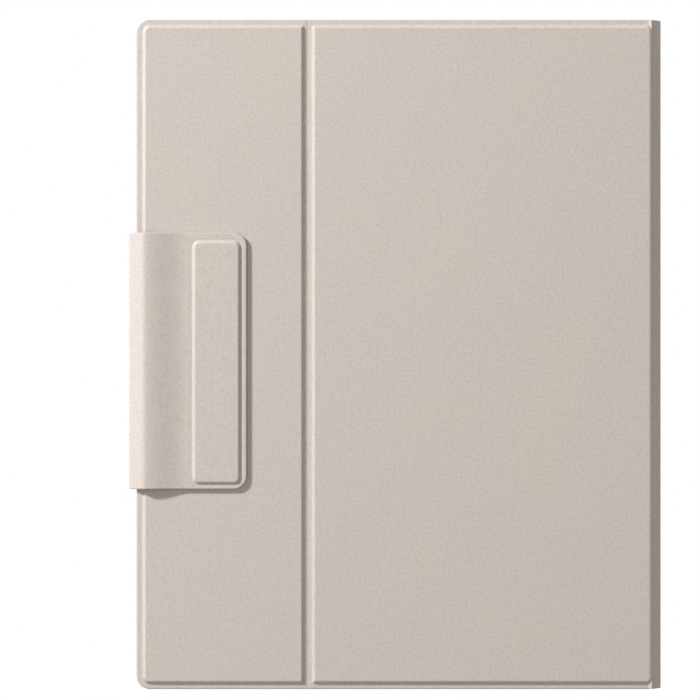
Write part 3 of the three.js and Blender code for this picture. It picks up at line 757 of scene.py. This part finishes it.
def flapPlate(name, start, end, slot, thick, depth, corner, padded, inset):
    # a closed strip on the flap's curve between two arc lengths, with its outer face at -depth
    s = flapSizes
    curve = flapCurve()
    box = (start, end, s["bottom"] + inset, s["top"] - inset)
    length, _ = curveFrame(curve)
    padRight = length[-1] - s["padInset"]
    padBox = (padRight - s["padWidth"], padRight, s["bottom"] + s["padEnds"][1], s["top"] - s["padEnds"][0])
    reach, fine, edge = s["padReach"], gridSteps["fine"], gridSteps["edge"]
    uSpans = [(padBox[0] - 0.6 * mm, padBox[0] + reach), (padBox[1] - reach, end)]
    us = gradedLine(start, end, uSpans, 0.8 * mm, fine)
    ys = gradedLine(box[2], box[3], [(box[2], box[2] + edge), (box[3] - edge, box[3])], 2.5 * mm, fine)

    def outer(u, y):
        if not padded:
            return np.full_like(u, -depth)
        distance = roundedDistance(u, y, padBox, [s["padCorner"]] * 4)
        rise = s["padRise"] * boardEdge(distance, s["padSlope"])
        sink = s["padSink"] * np.exp(-(((distance - 0.1 * mm) / s["padSinkWidth"]) ** 2))
        return rise - sink - depth

    radii = [s["rootCorner"], corner, corner, s["rootCorner"]]
    roll = min(coverSizes["roll"], thick * 0.45)
    points, faces = closedPlate(box, radii, us, ys, outer, level(-depth - thick), roll)
    return makePiece(name, alongCurve(points, curve), faces, slot)


def flapRootBlend(piece):
    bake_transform(piece)


def flapTurnBlend(piece):
    ends = [(flapSizes["bulge"] + past, 0, height) for past, height in flapSizes["turnBend"]]
    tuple(ends[0])
    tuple(ends[1])
    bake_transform(piece)


def closureFlap():
    s = flapSizes
    total = curveFrame(flapCurve())[0][-1]
    cut = s["rootTail"] + s["split"]
    over, liningOver = s["overlap"]
    inset = s["liningInset"]
    root = flapPlate("flap_root", 0, cut, "leatherette", s["thick"], 0, s["rootCorner"], False, 0)
    flapRootBlend(root)
    top = flapPlate("flap_leather", cut - over, total, "leatherette", s["skin"], 0, s["corner"], True, 0)
    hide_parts("flap_wall_skin", "flap_skin")
    flapTurnBlend(top)
    inside = flapPlate("flap_inside", cut - liningOver, total - inset, "microfibre", s["lining"],
                       s["skin"] + s["liningGap"], s["corner"] - inset, False, inset)
    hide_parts("flap_wall_lining", "flap_lining")
    flapTurnBlend(inside)


closureFlap()
print("flap made")

readerFinish = {
    "bodies": {"front_bezel": "reader", "rear_shell": "reader", "charging_port": "reader",
               "power_button": "power_button"},
    "weld": 0.001 * mm,  # corners closer than this become one
    "flat": 0.5,  # degrees: faces closer than this become one
    "edge": 0.1 * mm,  # radius of the rounding
    "sharp": 32,  # degrees: steeper meetings are rounded
}


def softenedCopy(name, body):
    # the solid's own shape, with its sharp edges rounded and its round corners shaded smooth
    f = readerFinish
    mesh = frame["nodes"][name].data.copy()
    work = bmesh.new()
    work.from_mesh(mesh)
    bmesh.ops.remove_doubles(work, verts=work.verts, dist=f["weld"])
    bmesh.ops.dissolve_limit(work, angle_limit=math.radians(f["flat"]), verts=work.verts, edges=work.edges)
    work.to_mesh(mesh)
    work.free()
    mesh.polygons.foreach_set("use_smooth", np.ones(len(mesh.polygons), bool))
    piece = bpy.data.objects.new(name + "_finish", mesh)
    bpy.context.scene.collection.objects.link(piece)
    edge = piece.modifiers.new("edge", "BEVEL")
    edge.width, edge.segments = f["edge"], 2
    edge.limit_method, edge.angle_limit = "ANGLE", math.radians(f["sharp"])
    edge.use_clamp_overlap = False
    piece.modifiers.new("flats", "WEIGHTED_NORMAL").weight = 80
    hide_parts(name)
    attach(piece, body)


for name, body in readerFinish["bodies"].items():
    softenedCopy(name, body)
print("reader finished")

# metres and watts; the tones are linear colours
stageLook = {
    "floor": 3.0,  # half its side
    "floorDrop": 0.05 * mm,
    "ambient": 0.2,
    "ambientTone": (1.0, 0.96, 0.90, 1.0),
    "keyFrom": (-0.69, 0.55, 0.48),
    "keyTone": (0.99, 1.0, 1.025),
    "keyDistance": 1.8,
    "keySize": 0.2,
    "keyPower": 35.3,
    "topPlace": (-0.2, -0.1, 1.5),
    "topSize": 1.6,
    "topPower": 7.35,
    "floorGlow": 0.22,
}


def floorPlane():
    half = stageLook["floor"]
    z = cadBox[0].z - stageLook["floorDrop"]
    corners = [(x * half, y * half, z) for x, y in ((-1, -1), (1, -1), (1, 1), (-1, 1))]
    mesh = bpy.data.meshes.new("floor")
    mesh.from_pydata(corners, [], [(0, 1, 2, 3)])
    material, tree, shader = newMaterial(
        "paleFloor", Roughness=0.9, Base_Color=(0.85, 0.85, 0.85, 1.0),
        Emission_Color=(1.0, 0.97, 0.93, 1.0), Emission_Strength=stageLook["floorGlow"],
    )
    seen = node(tree, "ShaderNodeLightPath").outputs["Is Camera Ray"]
    white = node(tree, "ShaderNodeEmission").outputs[0]  # a lit white sweep, with no shadow on it
    both = node(tree, "ShaderNodeMixShader", {0: seen, 1: shader.outputs[0], 2: white})
    tree.links.new(both.outputs[0], tree.nodes["Material Output"].inputs["Surface"])
    mesh.materials.append(material)
    plane = bpy.data.objects.new("floor", mesh)
    bpy.context.scene.collection.objects.link(plane)


def aimed(thing, place, target):
    thing.location = place
    thing.rotation_mode = "QUATERNION"
    thing.rotation_quaternion = (Vector(target) - Vector(place)).to_track_quat("-Z", "Y")


def studio():
    look = stageLook
    world = bpy.data.worlds.new("studio")
    world.use_nodes = True
    tree = world.node_tree
    back = tree.nodes["Background"]
    seen = node(tree, "ShaderNodeLightPath").outputs["Is Camera Ray"]
    strength = node(tree, "ShaderNodeMapRange", {0: seen, 3: look["ambient"], 4: 1.0})
    tree.links.new(strength.outputs[0], back.inputs["Strength"])
    tree.links.new(mixColour(tree, seen, look["ambientTone"], (1.0, 1.0, 1.0, 1.0)), back.inputs["Color"])
    bpy.context.scene.world = world
    keyPlace = Vector(look["keyFrom"]).normalized() * look["keyDistance"]
    softBox("key", look["keySize"], look["keyPower"], look["keyTone"], keyPlace)
    softBox("top", look["topSize"], look["topPower"], (1.0, 1.0, 1.0), Vector(look["topPlace"]))


def softBox(name, size, power, tone, place):
    light = bpy.data.lights.new(name, "AREA")
    light.size, light.energy, light.color = size, power, tone
    held = bpy.data.objects.new(name, light)
    bpy.context.scene.collection.objects.link(held)
    aimed(held, place, (0, 0, 0))


cameraSizes = {
    "sensor": 36,  # in the camera's own units
    "height": 1.35,
    "across": 0.2508,  # width of the view at the cover's face
    "centre": (-17.5 * mm, 1.6 * mm),
}


def topCamera():
    c = cameraSizes
    camera = bpy.data.cameras.new("camera")
    camera.sensor_width = c["sensor"]
    camera.lens = c["sensor"] * c["height"] / c["across"]
    camera.clip_start, camera.clip_end = 0.05, 20
    held = bpy.data.objects.new("camera", camera)
    held.location = (c["centre"][0], c["centre"][1], topZ + c["height"])
    bpy.context.scene.collection.objects.link(held)
    bpy.context.scene.camera = held


floorPlane()
studio()
topCamera()
bpy.context.scene.view_settings.view_transform = "Standard"
print("stage made")
